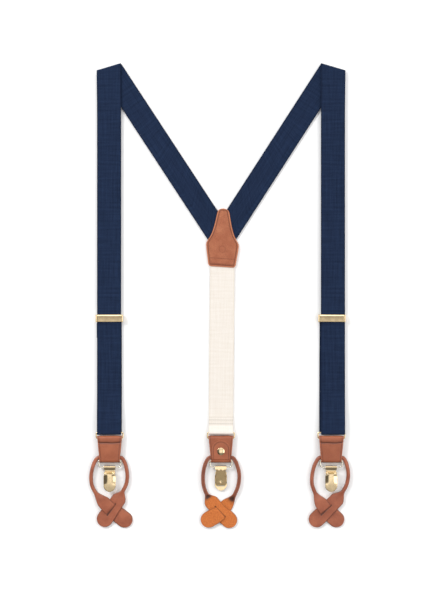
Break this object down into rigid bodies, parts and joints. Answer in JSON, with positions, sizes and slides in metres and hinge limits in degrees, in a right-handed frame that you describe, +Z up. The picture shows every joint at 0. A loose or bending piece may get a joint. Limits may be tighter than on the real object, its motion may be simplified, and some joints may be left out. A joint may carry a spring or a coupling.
{
  "type": "suspenders",
  "caption": "Y-back dress braces in elastic webbing with a leather yoke, sliding adjusters, and leather end tabs that carry both metal clips and button loops.",
  "frame": {"origin": "on the surface that the braces lie on, under the middle of their whole outline; they lie flat with the two fronts folded over the back at the shoulders", "axes": "+X to the right seen from above, +Y from the clips towards the shoulder folds, +Z up from the surface"},
  "size_m": [0.2722, 0.4908, 0.0087],
  "materials": {
    "navy_webbing": "matte ribbed elastic, navy",
    "cream_webbing": "matte ribbed elastic, cream",
    "tan_leather": "pebble-grain tan leather, semi-matte",
    "tab_leather": "smooth chestnut leather, semi-matte",
    "gold_metal": "polished gold-plated metal",
    "pale_wire": "pale gold-plated wire, polished",
    "clip_pad": "matte plastic"
  },
  "bodies": {
    "root": {"yoke_top_panel": "tan_leather", "yoke_bottom_panel": "tan_leather", "back_strap": "cream_webbing", "strap_left_back": "navy_webbing", "strap_right_back": "navy_webbing"},
    "front_left": {"strap_left_front": "navy_webbing", "strap_left_return": "navy_webbing"},
    "slider_left": {"slider_left_frame": "gold_metal", "slider_left_pin": "gold_metal", "strap_left_hem": "navy_webbing"},
    "slider_left_cover": {"slider_left_lever": "gold_metal"},
    "front_right": {"strap_right_front": "navy_webbing", "strap_right_return": "navy_webbing"},
    "slider_right": {"slider_right_frame": "gold_metal", "slider_right_pin": "gold_metal", "strap_right_hem": "navy_webbing"},
    "slider_right_cover": {"slider_right_lever": "gold_metal"},
    "tab_left": {"tab_left_ring": "gold_metal", "tab_left_leather": "tab_leather", "tab_left_snap_stud": "gold_metal"},
    "flap_left": {"tab_left_flap": "tab_leather", "tab_left_snap_cap": "gold_metal"},
    "clip_ring_left": {"clip_left_ring": "pale_wire"},
    "clip_left": {"clip_left_frame": "gold_metal", "clip_left_pin": "gold_metal", "clip_left_pad": "clip_pad"},
    "clip_jaw_left": {"clip_left_jaw": "gold_metal"},
    "clip_lever_left": {"clip_left_lever": "gold_metal"},
    "loop_left": {"loop_left_cord": "tab_leather", "loop_left_tab_a": "tab_leather", "loop_left_tab_b": "tab_leather"},
    "tab_right": {"tab_right_ring": "gold_metal", "tab_right_leather": "tab_leather", "tab_right_snap_stud": "gold_metal"},
    "flap_right": {"tab_right_flap": "tab_leather", "tab_right_snap_cap": "gold_metal"},
    "clip_ring_right": {"clip_right_ring": "pale_wire"},
    "clip_right": {"clip_right_frame": "gold_metal", "clip_right_pin": "gold_metal", "clip_right_pad": "clip_pad"},
    "clip_jaw_right": {"clip_right_jaw": "gold_metal"},
    "clip_lever_right": {"clip_right_lever": "gold_metal"},
    "loop_right": {"loop_right_cord": "tab_leather", "loop_right_tab_a": "tab_leather", "loop_right_tab_b": "tab_leather"},
    "tab_back": {"tab_back_ring": "gold_metal", "tab_back_leather": "tab_leather", "tab_back_snap_stud": "gold_metal"},
    "flap_back": {"tab_back_flap": "tab_leather", "tab_back_snap_cap": "gold_metal"},
    "clip_ring_back": {"clip_back_ring": "pale_wire"},
    "clip_back": {"clip_back_frame": "gold_metal", "clip_back_pin": "gold_metal", "clip_back_pad": "clip_pad"},
    "clip_jaw_back": {"clip_back_jaw": "gold_metal"},
    "clip_lever_back": {"clip_back_lever": "gold_metal"},
    "loop_back": {"loop_back_cord": "tab_leather", "loop_back_tab_a": "tab_leather", "loop_back_tab_b": "tab_leather"}
  },
  "joints": [
    {"name": "fold_left", "type": "hinge", "parent": "root", "child": "front_left", "pos_m": [-0.11756, 0.24018, 0.0027], "axis": [-0.9582, -0.2861, 0], "range_deg": [0, 170]},
    {"name": "slider_left_slide", "type": "slide", "parent": "front_left", "child": "slider_left", "axis": [0.0016, -1, 0], "range_m": [0, 0.07], "deforming": ["strap_left_return"]},
    {"name": "slider_left_lever_open", "type": "hinge", "parent": "slider_left", "child": "slider_left_cover", "pos_m": [-0.11715, -0.02122, 0.0059], "axis": [-1, -0.0016, 0], "range_deg": [0, 100]},
    {"name": "fold_right", "type": "hinge", "parent": "root", "child": "front_right", "pos_m": [0.11871, 0.24018, 0.0027], "axis": [-0.9593, 0.2825, 0], "range_deg": [0, 170]},
    {"name": "slider_right_slide", "type": "slide", "parent": "front_right", "child": "slider_right", "axis": [-0.0045, -1, 0], "range_m": [0, 0.07], "deforming": ["strap_right_return"]},
    {"name": "slider_right_lever_open", "type": "hinge", "parent": "slider_right", "child": "slider_right_cover", "pos_m": [0.11753, -0.02122, 0.0059], "axis": [-1, 0.0045, 0], "range_deg": [0, 100]},
    {"name": "tab_left_swing", "type": "hinge", "parent": "front_left", "child": "tab_left", "pos_m": [-0.11695, -0.14452, 0.0047], "axis": [-1, -0.0016, 0], "range_deg": [-20, 60]},
    {"name": "flap_left_open", "type": "hinge", "parent": "tab_left", "child": "flap_left", "pos_m": [-0.11691, -0.17312, 0.0009], "axis": [-1, -0.0016, 0], "range_deg": [0, 100]},
    {"name": "clip_ring_left_swing", "type": "hinge", "parent": "tab_left", "child": "clip_ring_left", "pos_m": [-0.11691, -0.17412, 0.00415], "axis": [-1, -0.0016, 0], "range_deg": [-30, 80]},
    {"name": "clip_left_swing", "type": "hinge", "parent": "clip_ring_left", "child": "clip_left", "pos_m": [-0.1169, -0.18112, 0.00415], "axis": [-1, -0.0016, 0], "range_deg": [-20, 10]},
    {"name": "clip_left_lever_open", "type": "hinge", "parent": "clip_left", "child": "clip_lever_left", "pos_m": [-0.11689, -0.18712, 0.00605], "axis": [-1, -0.0016, 0], "range_deg": [0, 100]},
    {"name": "clip_left_jaw_open", "type": "hinge", "parent": "clip_left", "child": "clip_jaw_left", "pos_m": [-0.11689, -0.18712, 0.00605], "axis": [-1, -0.0016, 0], "range_deg": [0, 20]},
    {"name": "button_loop_left_swing", "type": "hinge", "parent": "tab_left", "child": "loop_left", "pos_m": [-0.11691, -0.17042, 0.0043], "axis": [-1, -0.0016, 0], "range_deg": [-20, 80]},
    {"name": "tab_right_swing", "type": "hinge", "parent": "front_right", "child": "tab_right", "pos_m": [0.11696, -0.14452, 0.0047], "axis": [-1, 0.0045, 0], "range_deg": [-20, 60]},
    {"name": "flap_right_open", "type": "hinge", "parent": "tab_right", "child": "flap_right", "pos_m": [0.11683, -0.17312, 0.0009], "axis": [-1, 0.0045, 0], "range_deg": [0, 100]},
    {"name": "clip_ring_right_swing", "type": "hinge", "parent": "tab_right", "child": "clip_ring_right", "pos_m": [0.11683, -0.17412, 0.00415], "axis": [-1, 0.0045, 0], "range_deg": [-30, 80]},
    {"name": "clip_right_swing", "type": "hinge", "parent": "clip_ring_right", "child": "clip_right", "pos_m": [0.1168, -0.18112, 0.00415], "axis": [-1, 0.0045, 0], "range_deg": [-20, 10]},
    {"name": "clip_right_lever_open", "type": "hinge", "parent": "clip_right", "child": "clip_lever_right", "pos_m": [0.11677, -0.18712, 0.00605], "axis": [-1, 0.0045, 0], "range_deg": [0, 100]},
    {"name": "clip_right_jaw_open", "type": "hinge", "parent": "clip_right", "child": "clip_jaw_right", "pos_m": [0.11677, -0.18712, 0.00605], "axis": [-1, 0.0045, 0], "range_deg": [0, 20]},
    {"name": "button_loop_right_swing", "type": "hinge", "parent": "tab_right", "child": "loop_right", "pos_m": [0.11685, -0.17042, 0.0043], "axis": [-1, 0.0045, 0], "range_deg": [-20, 80]},
    {"name": "tab_back_swing", "type": "hinge", "parent": "root", "child": "tab_back", "pos_m": [0.00042, -0.14452, 0.00405], "axis": [1, 0, 0], "range_deg": [-60, 20]},
    {"name": "flap_back_open", "type": "hinge", "parent": "tab_back", "child": "flap_back", "pos_m": [0.00042, -0.17312, 0.00785], "axis": [1, 0, 0], "range_deg": [0, 100]},
    {"name": "clip_ring_back_swing", "type": "hinge", "parent": "tab_back", "child": "clip_ring_back", "pos_m": [0.00042, -0.17412, 0.0046], "axis": [1, 0, 0], "range_deg": [-80, 30]},
    {"name": "clip_back_swing", "type": "hinge", "parent": "clip_ring_back", "child": "clip_back", "pos_m": [0.00042, -0.18112, 0.0046], "axis": [1, 0, 0], "range_deg": [-10, 20]},
    {"name": "clip_back_lever_open", "type": "hinge", "parent": "clip_back", "child": "clip_lever_back", "pos_m": [0.00042, -0.18712, 0.0027], "axis": [1, 0, 0], "range_deg": [0, 100]},
    {"name": "clip_back_jaw_open", "type": "hinge", "parent": "clip_back", "child": "clip_jaw_back", "pos_m": [0.00042, -0.18712, 0.0027], "axis": [1, 0, 0], "range_deg": [0, 20]},
    {"name": "button_loop_back_swing", "type": "hinge", "parent": "tab_back", "child": "loop_back", "pos_m": [0.00042, -0.17042, 0.00445], "axis": [1, 0, 0], "range_deg": [-80, 20]}
  ],
  "couplings": [
    {"joint": "clip_left_jaw_open", "follows": "clip_left_lever_open", "ratio": 0.2},
    {"joint": "clip_right_jaw_open", "follows": "clip_right_lever_open", "ratio": 0.2},
    {"joint": "clip_back_jaw_open", "follows": "clip_back_lever_open", "ratio": 0.2}
  ]
}
